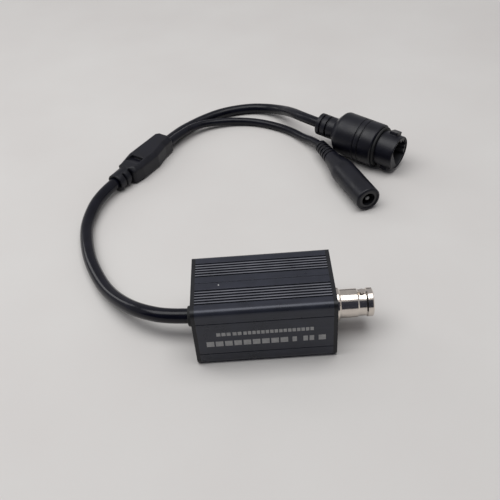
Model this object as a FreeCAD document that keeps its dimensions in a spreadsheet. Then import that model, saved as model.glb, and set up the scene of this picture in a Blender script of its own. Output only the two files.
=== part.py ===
import FreeCAD, Part
import math
import os
from types import SimpleNamespace

import Sketcher

# Video encoder: a ribbed aluminium box with a BNC socket on one end plate. A cable leaves
# the other end plate, forks in a moulded splitter, and ends in a network socket and a
# power socket. Lengths are in millimetres and angles in degrees.
# Frame: +X from the cable end to the BNC end, +Y to the back, +Z up. The origin is on the
# underside of the ribbed tube, at its middle.

SIZES = {
    # Ribbed tube
    "housing_length": 43.4,
    "housing_width": 27.0,
    "housing_height": 24.0,
    "corner_radius": 2.0,
    "wall": 1.8,
    "groove_count": 6,
    "groove_pitch": 1.2,
    "groove_width": 0.6,
    "groove_depth": 0.45,
    "first_groove": 3.3,
    "middle_line_width": 0.5,
    "middle_line_depth": 0.15,
    "side_line_height": 7.0,
    "side_line_width": 0.35,
    "side_line_depth": 0.22,
    "rail_depth": 1.2,
    "rail_thickness": 0.8,
    # End plates and their screws
    "plate_thickness": 1.3,
    "screw_inset": 3.4,
    "screw_port_radius": 1.95,
    "screw_port_slit": 1.0,
    "screw_radius": 1.25,
    "screw_head_radius": 2.2,
    "screw_length": 8.0,
    "screw_cross_reach": 1.2,
    "screw_cross_width": 0.5,
    "screw_cross_depth": 0.7,
    "screw_hole_gap": 0.2,
    "thread_gap": 0.03,
    "fit_gap": 0.05,
    "half_turn": 180.0,
    # BNC socket, lengths from the outer face of its plate
    "bnc_offset": -0.5,
    "bnc_height": 10.8,
    "bnc_barrel_radius": 4.825,
    "bnc_waist_radius": 4.45,
    "bnc_ring_radius": 5.5,
    "bnc_shank_radius": 4.0,
    "bnc_bore_radius": 4.05,
    "bnc_length": 13.2,
    "bnc_ring_length": 2.1,
    "bnc_rear_barrel_end": 7.9,
    "bnc_taper_length": 0.5,
    "bnc_waist_end": 10.8,
    "bnc_bore_floor": 4.0,
    "bnc_shank_length": 5.5,
    "bnc_edge": 0.3,
    "bnc_lug_radius": 1.0,
    "bnc_lug_reach": 5.45,
    "bnc_lug_place": 9.4,
    "bnc_insulator_radius": 2.4,
    "bnc_insulator_setback": 1.0,
    "bnc_contact_radius": 1.1,
    "bnc_contact_bore": 0.7,
    "bnc_contact_setback": 1.4,
    "bnc_contact_socket": 4.4,
    "bnc_contact_slit": 0.3,
    "bnc_pin_radius": 0.5,
    "bnc_pin_reach": 9.0,
    "nut_across_flats": 11.0,
    "nut_thickness": 2.4,
    "washer_thickness": 0.6,
    "washer_radius": 6.0,
    "washer_tooth_depth": 0.8,
    "washer_tooth_gap": 0.9,
    "washer_tooth_count": 10,
    # Grommet and the cable's end inside the box
    "cable_height": 9.3,
    "grommet_length": 2.6,
    "grommet_root_radius": 3.8,
    "grommet_end_radius": 3.4,
    "grommet_neck_radius": 3.2,
    "grommet_flange_radius": 4.0,
    "grommet_flange_thickness": 1.2,
    "grommet_edge": 0.4,
    "cable_radius": 2.6,
    "cable_inside": 2.1,
    "wire_radius": 0.3,
    "wire_pitch": 0.7,
    "wire_level": 2.0,
    # Circuit board and the plug of the cable's wires
    "board_thickness": 1.6,
    "board_front_gap": 4.3,
    "board_rear_gap": 3.2,
    "board_side_gap": 0.2,
    "board_slot_gap": 0.1,
    "board_corner": 1.0,
    "header_setback": 2.7,
    "header_length": 5.0,
    "header_width": 8.0,
    "header_height": 3.6,
    "header_wall": 0.6,
    "plug_stand_out": 0.8,
    "plug_groove_width": 0.4,
    "plug_groove_depth": 0.3,
    # Components on the board: the middle's place along it, the gap to the rail beside them,
    # then length, width and height
    "encoder_x": 0.2,
    "encoder_rail_gap": 0.3,
    "encoder_length": 9.0,
    "encoder_width": 9.0,
    "encoder_height": 1.4,
    "receiver_x": 9.5,
    "receiver_rail_gap": 1.3,
    "receiver_length": 6.0,
    "receiver_width": 6.0,
    "receiver_height": 0.9,
    "memory_x": 8.0,
    "memory_rail_gap": 0.5,
    "memory_length": 6.0,
    "memory_width": 8.0,
    "memory_height": 1.1,
    "transformer_x": -4.5,
    "transformer_rail_gap": 1.0,
    "transformer_length": 11.0,
    "transformer_width": 7.0,
    "transformer_height": 4.2,
    "transformer_pin_pitch": 1.27,
    "transformer_pin_count": 8,
    "transformer_pin_width": 0.45,
    "transformer_pin_reach": 0.9,
    "transformer_pin_thickness": 0.25,
    "crystal_x": 13.4,
    "crystal_rail_gap": 1.5,
    "crystal_length": 3.2,
    "crystal_width": 5.0,
    "crystal_height": 1.1,
    "inductor_x": -7.7,
    "inductor_rail_gap": 0.2,
    "inductor_length": 5.8,
    "inductor_width": 5.8,
    "inductor_height": 3.0,
    "capacitor_x": -15.0,
    "capacitor_rail_gap": 0.1,
    "capacitor_radius": 2.0,
    "capacitor_height": 5.4,
    "capacitor_base": 1.1,
    "chip_edge": 0.2,
    "chip_dot_radius": 0.4,
    "chip_dot_inset": 1.2,
    "chip_dot_depth": 0.1,
    # Splitter, lengths from the face where the cable enters
    "splitter_x": -61.17,
    "splitter_y": 87.77,
    "splitter_heading": 55.0,
    "splitter_length": 36.5,
    "splitter_height": 8.3,
    "splitter_half_width": 5.6,
    "splitter_back_width": 6.0,
    "splitter_relief_length": 7.7,
    "splitter_relief_radius": 4.05,
    "splitter_relief_start_radius": 3.85,
    "splitter_recess_radius": 3.15,
    "splitter_recess_depth": 0.8,
    "splitter_slot_place": 3.1,
    "splitter_slot_pitch": 3.6,
    "splitter_slot_width": 0.9,
    "splitter_slot_count": 2,
    "splitter_bridge_width": 3.6,
    "splitter_core_radius": 3.1,
    "splitter_flare": 0.9,
    "splitter_near_shoulder": 13.0,
    "splitter_back_shoulder": 16.8,
    "splitter_cheek_start": 23.5,
    "splitter_cheek_end": 31.0,
    "splitter_cheek_half_width": 3.9,
    "splitter_nose_half_width": 3.4,
    "splitter_back_corner": 0.8,
    "splitter_near_bevel": 1.7,
    "splitter_bevel": 1.0,
    "splitter_scoop_start": 11.6,
    "splitter_scoop_end": 16.6,
    "splitter_scoop_depth": 1.6,
    "splitter_scoop_width": 6.8,
    "splitter_lip": 0.35,
    # Where the two leads leave the splitter
    "network_lead_side": 2.4,
    "network_lead_level": 2.55,
    "network_lead_radius": 2.35,
    "power_lead_side": -1.45,
    "power_lead_level": 4.65,
    "power_lead_radius": 1.8,
    # Network socket, lengths from the end of its boot
    "network_x": 31.97,
    "network_y": 113.8,
    "network_level": 10.78,
    "network_heading": -39.9,
    "network_pitch": 2.5,
    "network_lug_turn": -22.0,
    "network_jack_turn": -60.9,
    "network_radius": 9.45,
    "network_length": 40.3,
    "network_boot_radius": 5.0,
    "network_boot_length": 9.2,
    "network_boot_groove": 1.7,
    "network_boot_pitch": 3.0,
    "network_boot_groove_width": 0.9,
    "network_boot_groove_depth": 0.8,
    "network_boot_step": 0.9,
    "network_shoulder_end": 12.2,
    "network_shoulder_round": 2.0,
    "network_ring_place": 21.8,
    "network_ring_pitch": 2.4,
    "network_ring_width": 0.5,
    "network_ring_depth": 0.3,
    "network_body_end": 30.8,
    "network_body_edge": 0.5,
    "network_neck_radius": 7.3,
    "network_neck_length": 1.2,
    "network_barrel_radius": 7.5,
    "network_mouth_radius": 7.35,
    "network_mouth_edge": 0.25,
    "network_bore_radius": 6.95,
    "network_bore_depth": 13.6,
    "network_lug_start": 34.4,
    "network_lug_length": 3.6,
    "network_lug_width": 5.0,
    "network_lug_reach": 8.5,
    "network_lug_edge": 0.5,
    "seal_reach": 8.75,
    "seal_side_gap": 0.05,
    "insert_setback": 0.4,
    "jack_width": 11.6,
    "jack_height": 6.7,
    "jack_depth": 12.0,
    "latch_width": 6.4,
    "latch_height": 1.6,
    "latch_slot_width": 3.4,
    "latch_slot_height": 1.3,
    "contact_count": 8,
    "contact_pitch": 1.02,
    "contact_width": 0.4,
    "contact_thickness": 0.35,
    "contact_seat_depth": 0.4,
    "contact_front": 3.0,
    "contact_length": 8.0,
    "contact_rise": 1.9,
    # Power socket, lengths from the end of its boot
    "power_x": 30.92,
    "power_y": 103.8,
    "power_heading": -70.7,
    "power_level": 5.32,
    "power_length": 44.7,
    "power_boot_length": 12.5,
    "power_boot_start_radius": 2.8,
    "power_boot_end_radius": 3.5,
    "power_ring_count": 5,
    "power_ring_place": 1.3,
    "power_ring_margin": 1.6,
    "power_ring_width": 0.9,
    "power_ring_depth": 0.5,
    "power_shoulder_end": 22.0,
    "power_shoulder_round": 10.0,
    "power_radius": 5.3,
    "power_front_radius": 5.2,
    "power_front_edge": 0.8,
    "power_cavity_radius": 4.0,
    "power_cavity_depth": 12.0,
    "power_bore_radius": 2.85,
    "power_liner_setback": 0.3,
    "power_liner_floor": 1.5,
    "power_pin_radius": 1.05,
    "power_pin_setback": 1.0,
    "power_spring_width": 1.8,
    "power_spring_thickness": 0.3,
    "power_spring_length": 6.0,
    "power_spring_setback": 2.5,
}

# Routes of the three cords between their end pieces: points where straight runs would
# meet, on the table or above it.
MAIN_ROUTE = (
    (-42.5, 4.9, 8.2),
    (-50.7, 12.9, 5.4),
    (-57.2, 21.7, 3.2),
    (-62.3, 31.2, 2.65),
    (-66.4, 41.1, 2.65),
    (-69.2, 52.4, 2.65),
    (-70.4, 63.6, 2.8),
)
NETWORK_ROUTE = (
    (-32.5, 132.0, 2.4),
    (-22.4, 140.3, 2.4),
    (-12.6, 145.5, 2.4),
    (-0.3, 147.5, 2.4),
    (8.9, 145.2, 2.8),
    (15.9, 138.9, 4.8),
    (19.8, 130.2, 8.4),
)
POWER_ROUTE = (
    (-26.4, 131.8, 4.1),
    (-16.4, 136.0, 2.7),
    (-3.1, 136.3, 1.9),
    (8.0, 132.2, 1.85),
    (18.6, 124.3, 1.95),
    (25.0, 115.2, 3.2),
)
MAIN_FIRST_RUN = 11.6
MAIN_LAST_RUN = 10.2
LEAD_FIRST_RUN = 8.8
NETWORK_LAST_RUN = 9.0
POWER_LAST_RUN = 6.0
ARC_SHARE = 0.45

Vector = FreeCAD.Vector
doc = FreeCAD.newDocument("VideoEncoder")


# Spreadsheet and sizes


class Size:
    """A length that keeps its number and the formula that ties it to the sheet."""

    def __init__(self, number, formula):
        self.number = number
        self.formula = formula

    def __add__(self, other):
        return Size(self.number + number(other), "(%s + %s)" % (self.formula, formula(other)))

    def __radd__(self, other):
        return self + other

    def __sub__(self, other):
        return Size(self.number - number(other), "(%s - %s)" % (self.formula, formula(other)))

    def __rsub__(self, other):
        return Size(number(other) - self.number, "(%s - %s)" % (formula(other), self.formula))

    def __mul__(self, other):
        return Size(self.number * number(other), "(%s * %s)" % (self.formula, formula(other)))

    def __rmul__(self, other):
        return self * other

    def __truediv__(self, other):
        return Size(self.number / number(other), "(%s / %s)" % (self.formula, formula(other)))

    def __neg__(self):
        return Size(-self.number, "(0 - %s)" % self.formula)


def number(size):
    return size.number if isinstance(size, Size) else size


def formula(size):
    return size.formula if isinstance(size, Size) else "%.9g" % size


def fill_sheet(sizes):
    """Write each size into a named cell, and give the sizes by name."""
    sheet = doc.addObject("Spreadsheet::Sheet", "Sizes")
    named = {}
    for row, (name, amount) in enumerate(sizes.items(), 1):
        sheet.set("A%d" % row, name)
        sheet.set("B%d" % row, str(amount))
        sheet.setAlias("B%d" % row, name)
        named[name] = Size(amount, "Sizes." + name)
    doc.recompute()
    return SimpleNamespace(**named)


def bind(thing, prop, size):
    """Tie a property to the sheet where its size comes from there."""
    if isinstance(size, Size):
        thing.setExpression(prop, size.formula)


S = fill_sheet(SIZES)


# Bodies and sketches


def new_body(label, x=0, y=0, z=0, heading=0, pitch=0, roll=0):
    """A body with its label, its place, and its heading, nose-down pitch and roll."""
    body = doc.addObject("PartDesign::Body", label)
    body.Label = label
    level = number(pitch) == 0 and number(roll) == 0
    turn = FreeCAD.Rotation(Vector(0, 0, 1), number(heading))
    if not level:
        turn = turn * FreeCAD.Rotation(Vector(0, 1, 0), number(pitch))
        turn = turn * FreeCAD.Rotation(Vector(1, 0, 0), number(roll))
    body.Placement = FreeCAD.Placement(Vector(number(x), number(y), number(z)), turn)
    bind(body, "Placement.Base.x", x)
    bind(body, "Placement.Base.y", y)
    bind(body, "Placement.Base.z", z)
    if level:
        bind(body, "Placement.Rotation.Angle", heading)
    return body


def origin_item(body, role):
    return next(item for item in body.Origin.OriginFeatures if item.Role == role)


def new_sketch(body, plane, level=0):
    """A sketch on one of the body's own origin planes, or at a level above it."""
    sketch = body.newObject("Sketcher::SketchObject", "Sketch")
    sketch.AttachmentSupport = [(origin_item(body, plane), "")]
    sketch.MapMode = "FlatFace"
    sketch.AttachmentOffset = FreeCAD.Placement(Vector(0, 0, number(level)), FreeCAD.Rotation())
    bind(sketch, "AttachmentOffset.Base.z", level)
    return sketch


def tie_point(sketch, item, end, x, y):
    """Hold one point of a sketch at its distances from the sketch's origin."""
    for kind, axis, size in (("DistanceX", -2, x), ("DistanceY", -1, y)):
        if number(size) == 0:
            sketch.addConstraint(Sketcher.Constraint("PointOnObject", item, end, axis))
        else:
            rule = Sketcher.Constraint(kind, -1, 1, item, end, number(size))
            place = sketch.addConstraint(rule)
            bind(sketch, "Constraints[%d]" % place, size)


def polygon(sketch, points):
    """A closed outline of straight sides, each corner tied to the sizes."""
    spots = [Vector(number(x), number(y), 0) for x, y in points]
    first = sketch.GeometryCount
    count = len(spots)
    sides = [Part.LineSegment(spots[i], spots[(i + 1) % count]) for i in range(count)]
    sketch.addGeometry(sides, False)
    joins = [Sketcher.Constraint("Coincident", first + i, 2, first + (i + 1) % count, 1)
             for i in range(count)]
    sketch.addConstraint(joins)
    for i, (x, y) in enumerate(points):
        tie_point(sketch, first + i, 1, x, y)


def rectangle(sketch, low_x, low_y, high_x, high_y):
    polygon(sketch, ((low_x, low_y), (high_x, low_y), (high_x, high_y), (low_x, high_y)))


def circle(sketch, x, y, radius):
    item = sketch.addGeometry(
        Part.Circle(Vector(number(x), number(y), 0), Vector(0, 0, 1), number(radius)), False)
    tie_point(sketch, item, 3, x, y)
    place = sketch.addConstraint(Sketcher.Constraint("Radius", item, number(radius)))
    bind(sketch, "Constraints[%d]" % place, radius)


def rounded_rectangle(sketch, width, height, radius, x=0, y=0):
    """Four corner arcs joined by four tangent sides."""
    reach_x = width * 0.5 - radius
    reach_y = height * 0.5 - radius
    centres = [(x + reach_x * across, y + reach_y * up)
               for across, up in ((1, 1), (-1, 1), (-1, -1), (1, -1))]
    first = sketch.GeometryCount
    arcs = []
    ends = []
    for i, (centre_x, centre_y) in enumerate(centres):
        centre = Vector(number(centre_x), number(centre_y), 0)
        round_edge = Part.Circle(centre, Vector(0, 0, 1), number(radius))
        start = math.pi / 2 * i
        arcs.append(Part.ArcOfCircle(round_edge, start, start + math.pi / 2))
        ends.append((arcs[i].StartPoint, arcs[i].EndPoint))
    sides = [Part.LineSegment(ends[i][1], ends[(i + 1) % 4][0]) for i in range(4)]
    sketch.addGeometry(arcs + sides, False)
    rules = []
    for i in range(4):
        rules.append(Sketcher.Constraint("Tangent", first + i, 2, first + 4 + i, 1))
        rules.append(Sketcher.Constraint("Tangent", first + 4 + i, 2, first + (i + 1) % 4, 1))
    rules += [Sketcher.Constraint("Equal", first, first + i) for i in (1, 2, 3)]
    sketch.addConstraint(rules)
    place = sketch.addConstraint(Sketcher.Constraint("Radius", first, number(radius)))
    bind(sketch, "Constraints[%d]" % place, radius)
    for i, (centre_x, centre_y) in enumerate(centres):
        tie_point(sketch, first + i, 3, centre_x, centre_y)


# Features


def pad(body, sketch, length, both_ways=False, backward=False, taper=0):
    """Material along the sketch's normal, or half of it on each side."""
    feature = body.newObject("PartDesign::Pad", "Pad")
    feature.Profile = sketch
    feature.Length = number(length)
    bind(feature, "Length", length)
    feature.SideType = "Symmetric" if both_ways else "One side"
    feature.Reversed = backward
    feature.TaperAngle = taper
    body.Tip = feature
    return feature


def pocket(body, sketch, depth=None, both_ways=False, backward=False, taper=0):
    """A cut against the sketch's normal, to a depth or right through."""
    feature = body.newObject("PartDesign::Pocket", "Pocket")
    feature.Profile = sketch
    feature.SideType = "Symmetric" if both_ways else "One side"
    feature.Reversed = backward
    if depth is None:
        feature.Type = "ThroughAll"
    else:
        feature.Length = number(depth)
        bind(feature, "Length", depth)
        feature.TaperAngle = taper
    body.Tip = feature
    return feature


def turned(body, points):
    """A turned piece: its half outline is revolved about the body's own X axis."""
    sketch = new_sketch(body, "XY_Plane")
    polygon(sketch, points)
    feature = body.newObject("PartDesign::Revolution", "Revolution")
    feature.Profile = sketch
    feature.ReferenceAxis = (sketch, ["H_Axis"])
    feature.Angle = 360
    body.Tip = feature
    return feature


def row(body, axis, pitch, count):
    """Step of a repeat: copies along an axis."""
    step = body.newObject("PartDesign::LinearPattern", "Row")
    step.Direction = (origin_item(body, axis), [""])
    step.Mode = "Spacing"
    step.Offset = number(pitch)
    bind(step, "Offset", pitch)
    step.Occurrences = int(number(count))
    bind(step, "Occurrences", count)
    return step


def mirror(body, plane):
    """Step of a repeat: a copy on the other side of a plane."""
    step = body.newObject("PartDesign::Mirrored", "Mirror")
    step.MirrorPlane = (origin_item(body, plane), [""])
    return step


def ring_of(body, axis, count):
    """Step of a repeat: copies evenly round an axis."""
    step = body.newObject("PartDesign::PolarPattern", "Ring")
    step.Axis = (origin_item(body, axis), [""])
    step.Angle = 360
    step.Occurrences = int(number(count))
    bind(step, "Occurrences", count)
    return step


def repeat(body, features, steps):
    """Repeat features by one step after another."""
    feature = body.newObject("PartDesign::MultiTransform", "Repeat")
    feature.Originals = features
    feature.Transformations = steps
    body.Tip = feature
    return feature


def edges_where(shape, test):
    return ["Edge%d" % (i + 1) for i, edge in enumerate(shape.Edges) if test(edge)]


def round_edges(body, kind, size, test):
    """Fillet or chamfer on the edges of the body's tip that pass a test."""
    doc.recompute()
    base = body.Tip
    names = edges_where(base.Shape, test)
    if not names:
        raise RuntimeError("no edge to round on " + body.Label)
    feature = body.newObject("PartDesign::" + kind, kind)
    feature.Base = (base, names)
    prop = "Radius" if kind == "Fillet" else "Size"
    setattr(feature, prop, number(size))
    bind(feature, prop, size)
    body.Tip = feature
    return feature


def lies_at_x(edge, x, tolerance=1e-4):
    box = edge.BoundBox
    return abs(box.XMin - number(x)) < tolerance and abs(box.XMax - number(x)) < tolerance


def lies_at_z(edge, z, tolerance=1e-4):
    box = edge.BoundBox
    return abs(box.ZMin - number(z)) < tolerance and abs(box.ZMax - number(z)) < tolerance


# Places that several pieces share

HALF_LENGTH = S.housing_length * 0.5
MID_HEIGHT = S.housing_height * 0.5
PLATE_FACE = HALF_LENGTH + S.plate_thickness
PORT_Y = S.housing_width * 0.5 - S.screw_inset
PORT_Z = MID_HEIGHT - S.screw_inset
BOARD_BOTTOM = S.bnc_height - S.bnc_pin_radius - S.board_thickness
BOARD_TOP = S.bnc_height - S.bnc_pin_radius
RAIL_EDGE = S.housing_width * 0.5 - S.wall - S.rail_depth
SPLITTER_LEVEL = S.splitter_height * 0.5
FRONT = -1
BACK = 1


# Ribbed tube and end plates


def housing_extrusion():
    """The extruded tube: ribs above and below, board rails and four screw ports inside."""
    body = new_body("housing_extrusion", z=MID_HEIGHT)
    outline = new_sketch(body, "YZ_Plane")
    rounded_rectangle(outline, S.housing_width, S.housing_height, S.corner_radius)
    pad(body, outline, S.housing_length, both_ways=True)

    hollow = new_sketch(body, "YZ_Plane")
    inner_corner = S.screw_inset - S.wall
    rounded_rectangle(hollow, S.housing_width - S.wall * 2, S.housing_height - S.wall * 2,
                      inner_corner)
    pocket(body, hollow, both_ways=True)

    ports = new_sketch(body, "YZ_Plane")
    circle(ports, PORT_Y, PORT_Z, S.screw_port_radius)
    port = pad(body, ports, S.housing_length, both_ways=True)
    holes = new_sketch(body, "YZ_Plane")
    circle(holes, PORT_Y, PORT_Z, S.screw_radius + S.thread_gap)
    hole = pocket(body, holes, S.housing_length, both_ways=True)
    slits = new_sketch(body, "YZ_Plane")
    rectangle(slits, PORT_Y - S.screw_port_radius * 2, PORT_Z - S.screw_port_slit * 0.5,
              PORT_Y, PORT_Z + S.screw_port_slit * 0.5)
    slit = pocket(body, slits, S.housing_length, both_ways=True)
    repeat(body, [port, hole, slit], [mirror(body, "XZ_Plane"), mirror(body, "XY_Plane")])

    rails = new_sketch(body, "YZ_Plane")
    inner_wall = S.housing_width * 0.5 - S.wall
    slot_low = BOARD_BOTTOM - S.board_slot_gap - MID_HEIGHT
    slot_high = BOARD_TOP + S.board_slot_gap - MID_HEIGHT
    rectangle(rails, inner_wall - S.rail_depth, slot_high,
              inner_wall + S.wall * 0.5, slot_high + S.rail_thickness)
    rectangle(rails, inner_wall - S.rail_depth, slot_low - S.rail_thickness,
              inner_wall + S.wall * 0.5, slot_low)
    rail = pad(body, rails, S.housing_length, both_ways=True)
    repeat(body, [rail], [mirror(body, "XZ_Plane")])

    first = new_sketch(body, "XY_Plane", MID_HEIGHT)
    rectangle(first, -S.housing_length, S.first_groove - S.groove_width * 0.5,
              S.housing_length, S.first_groove + S.groove_width * 0.5)
    groove = pocket(body, first, S.groove_depth)
    repeat(body, [groove], [row(body, "Y_Axis", S.groove_pitch, S.groove_count),
                            mirror(body, "XZ_Plane"), mirror(body, "XY_Plane")])

    middle = new_sketch(body, "XY_Plane", MID_HEIGHT)
    rectangle(middle, -S.housing_length, S.middle_line_width * -0.5,
              S.housing_length, S.middle_line_width * 0.5)
    pocket(body, middle, S.middle_line_depth)

    side = new_sketch(body, "YZ_Plane")
    face = S.housing_width * 0.5
    polygon(side, ((face - S.side_line_depth, S.side_line_height),
                   (face + S.side_line_depth, S.side_line_height - S.side_line_width),
                   (face + S.side_line_depth, S.side_line_height + S.side_line_width)))
    line = pocket(body, side, S.housing_length, both_ways=True)
    repeat(body, [line], [mirror(body, "XZ_Plane"), mirror(body, "XY_Plane")])
    return body


def end_plate(label, x, heading, hole_y, hole_z, hole_radius):
    """A thin plate with one large hole and four countersunk screw holes."""
    body = new_body(label, x=x, z=MID_HEIGHT, heading=heading)
    outline = new_sketch(body, "YZ_Plane")
    rounded_rectangle(outline, S.housing_width, S.housing_height, S.corner_radius)
    pad(body, outline, S.plate_thickness)
    opening = new_sketch(body, "YZ_Plane")
    circle(opening, hole_y, hole_z - MID_HEIGHT, hole_radius)
    pocket(body, opening, both_ways=True)
    shank = new_sketch(body, "YZ_Plane")
    circle(shank, PORT_Y, PORT_Z, S.screw_radius + S.screw_hole_gap)
    hole = pocket(body, shank, S.plate_thickness * 2, both_ways=True)
    sink = new_sketch(body, "YZ_Plane", S.plate_thickness)
    circle(sink, PORT_Y, PORT_Z, S.screw_head_radius + S.fit_gap)
    cone = pocket(body, sink, S.screw_head_radius - S.screw_radius, taper=-45)
    repeat(body, [hole, cone], [mirror(body, "XZ_Plane"), mirror(body, "XY_Plane")])
    return body


def plate_screws(label, x, heading):
    """Four countersunk screws with cross recesses."""
    body = new_body(label, x=x, z=MID_HEIGHT, heading=heading)
    shank = new_sketch(body, "YZ_Plane", S.plate_thickness)
    circle(shank, PORT_Y, PORT_Z, S.screw_radius)
    stem = pad(body, shank, S.screw_length, backward=True)
    top = new_sketch(body, "YZ_Plane", S.plate_thickness)
    circle(top, PORT_Y, PORT_Z, S.screw_head_radius)
    head = pad(body, top, S.screw_head_radius - S.screw_radius, backward=True, taper=-45)
    recess = new_sketch(body, "YZ_Plane", S.plate_thickness)
    thin = S.screw_cross_width * 0.5
    reach = S.screw_cross_reach
    polygon(recess, ((PORT_Y + reach, PORT_Z - thin), (PORT_Y + reach, PORT_Z + thin),
                     (PORT_Y + thin, PORT_Z + thin), (PORT_Y + thin, PORT_Z + reach),
                     (PORT_Y - thin, PORT_Z + reach), (PORT_Y - thin, PORT_Z + thin),
                     (PORT_Y - reach, PORT_Z + thin), (PORT_Y - reach, PORT_Z - thin),
                     (PORT_Y - thin, PORT_Z - thin), (PORT_Y - thin, PORT_Z - reach),
                     (PORT_Y + thin, PORT_Z - reach), (PORT_Y + thin, PORT_Z - thin)))
    cross = pocket(body, recess, S.screw_cross_depth)
    repeat(body, [stem, head, cross], [mirror(body, "XZ_Plane"), mirror(body, "XY_Plane")])
    return body


# BNC socket, turned about its own axis, with x = 0 on the outer face of the plate


def bnc_piece(label):
    return new_body(label, x=PLATE_FACE, y=S.bnc_offset, z=S.bnc_height)


def bnc_body():
    """Plated shell: shank, flange ring, barrel, waist, lip and two bayonet lugs."""
    body = bnc_piece("bnc_body")
    rear = -S.bnc_shank_length
    seat = S.bnc_insulator_radius + S.fit_gap
    turned(body, (
        (rear, seat),
        (rear, S.bnc_shank_radius),
        (0, S.bnc_shank_radius),
        (0, S.bnc_ring_radius),
        (S.bnc_ring_length, S.bnc_ring_radius),
        (S.bnc_ring_length, S.bnc_barrel_radius),
        (S.bnc_rear_barrel_end, S.bnc_barrel_radius),
        (S.bnc_rear_barrel_end + S.bnc_taper_length, S.bnc_waist_radius),
        (S.bnc_waist_end, S.bnc_waist_radius),
        (S.bnc_waist_end + S.bnc_taper_length, S.bnc_barrel_radius),
        (S.bnc_length, S.bnc_barrel_radius),
        (S.bnc_length, S.bnc_bore_radius),
        (S.bnc_bore_floor, S.bnc_bore_radius),
        (S.bnc_bore_floor, seat),
    ))
    base = new_sketch(body, "XY_Plane", S.bnc_bore_radius + S.fit_gap)
    circle(base, S.bnc_lug_place, 0, S.bnc_lug_radius)
    lug = pad(body, base, S.bnc_lug_reach - S.bnc_bore_radius - S.fit_gap)
    repeat(body, [lug], [mirror(body, "XY_Plane")])
    round_edges(body, "Chamfer", S.bnc_edge, lambda edge: (
        edge.Length > math.pi * number(S.bnc_barrel_radius)
        and (lies_at_x(edge, S.bnc_length) or lies_at_x(edge, S.bnc_ring_length))
        and edge.BoundBox.YMax > number(S.bnc_bore_radius) + number(S.fit_gap)))
    return body


def bnc_insulator():
    """White sleeve that holds the centre contact in the shell."""
    body = bnc_piece("bnc_insulator")
    front = S.bnc_length - S.bnc_insulator_setback
    rear = -S.bnc_shank_length
    turned(body, (
        (rear, S.bnc_pin_radius + S.fit_gap),
        (rear, S.bnc_insulator_radius),
        (front, S.bnc_insulator_radius),
        (front, S.bnc_contact_radius + S.fit_gap),
        (S.bnc_bore_floor, S.bnc_contact_radius + S.fit_gap),
        (S.bnc_bore_floor, S.bnc_pin_radius + S.fit_gap),
    ))
    return body


def bnc_centre_contact():
    """Gold socket with crossed slits, and the pin that lies on the board behind it."""
    body = bnc_piece("bnc_centre_contact")
    front = S.bnc_length - S.bnc_contact_setback
    floor = front - S.bnc_contact_socket
    shoulder = S.bnc_bore_floor
    turned(body, (
        (-S.bnc_pin_reach, 0),
        (-S.bnc_pin_reach, S.bnc_pin_radius),
        (shoulder, S.bnc_pin_radius),
        (shoulder, S.bnc_contact_radius),
        (front, S.bnc_contact_radius),
        (front, S.bnc_contact_bore),
        (floor, S.bnc_contact_bore),
        (floor, 0),
    ))
    for plane in ("XY_Plane", "XZ_Plane"):
        slit = new_sketch(body, plane)
        rectangle(slit, floor, S.bnc_contact_slit * -0.5, front + S.bnc_contact_radius,
                  S.bnc_contact_slit * 0.5)
        pocket(body, slit, S.bnc_contact_radius * 4, both_ways=True)
    return body


def bnc_lock_washer():
    """Toothed washer between the plate and the nut."""
    body = bnc_piece("bnc_lock_washer")
    outer = -S.plate_thickness
    inner = outer - S.washer_thickness
    turned(body, (
        (inner, S.bnc_shank_radius + S.thread_gap),
        (inner, S.washer_radius),
        (outer, S.washer_radius),
        (outer, S.bnc_shank_radius + S.thread_gap),
    ))
    notch = new_sketch(body, "YZ_Plane", outer)
    rectangle(notch, S.washer_radius - S.washer_tooth_depth, S.washer_tooth_gap * -0.5,
              S.washer_radius * 1.5, S.washer_tooth_gap * 0.5)
    gap = pocket(body, notch, S.washer_thickness)
    repeat(body, [gap], [ring_of(body, "X_Axis", S.washer_tooth_count)])
    return body


def bnc_panel_nut():
    """Hexagon nut on the shank, inside the box."""
    body = bnc_piece("bnc_panel_nut")
    face = -S.plate_thickness - S.washer_thickness
    flat = S.nut_across_flats * 0.5
    corner = flat / math.cos(math.pi / 6)
    half_side = corner * 0.5
    outline = new_sketch(body, "YZ_Plane", face)
    polygon(outline, ((flat, half_side), (0, corner), (-flat, half_side),
                      (-flat, -half_side), (0, -corner), (flat, -half_side)))
    pad(body, outline, S.nut_thickness, backward=True)
    bore = new_sketch(body, "YZ_Plane", face)
    circle(bore, 0, 0, S.bnc_shank_radius + S.thread_gap)
    pocket(body, bore, S.nut_thickness * 2, both_ways=True)
    round_edges(body, "Chamfer", S.bnc_edge,
                lambda edge: lies_at_x(edge, face - S.nut_thickness) and len(edge.Vertexes) == 2)
    return body


# Grommet and the wires inside the cable end


def cable_grommet():
    """Rubber collar that grips the plate between its root and an inner flange."""
    body = new_body("cable_grommet", x=-PLATE_FACE, z=S.cable_height, heading=S.half_turn)
    bore = S.cable_radius + S.fit_gap
    plate = -S.plate_thickness
    flange = plate - S.grommet_flange_thickness
    turned(body, (
        (flange, bore),
        (flange, S.grommet_flange_radius),
        (plate, S.grommet_flange_radius),
        (plate, S.grommet_neck_radius),
        (0, S.grommet_neck_radius),
        (0, S.grommet_root_radius),
        (S.grommet_length, S.grommet_end_radius),
        (S.grommet_length, bore),
    ))
    round_edges(body, "Fillet", S.grommet_edge, lambda edge: (
        lies_at_x(edge, S.grommet_length) and edge.BoundBox.YMax > number(bore) + 0.1))
    return body


def header_box():
    """Low and high X, half width, and low and high Z of the header on the board."""
    low = -HALF_LENGTH + S.board_rear_gap + S.header_setback
    return low, low + S.header_length, S.header_width * 0.5, BOARD_TOP, BOARD_TOP + S.header_height


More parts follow.
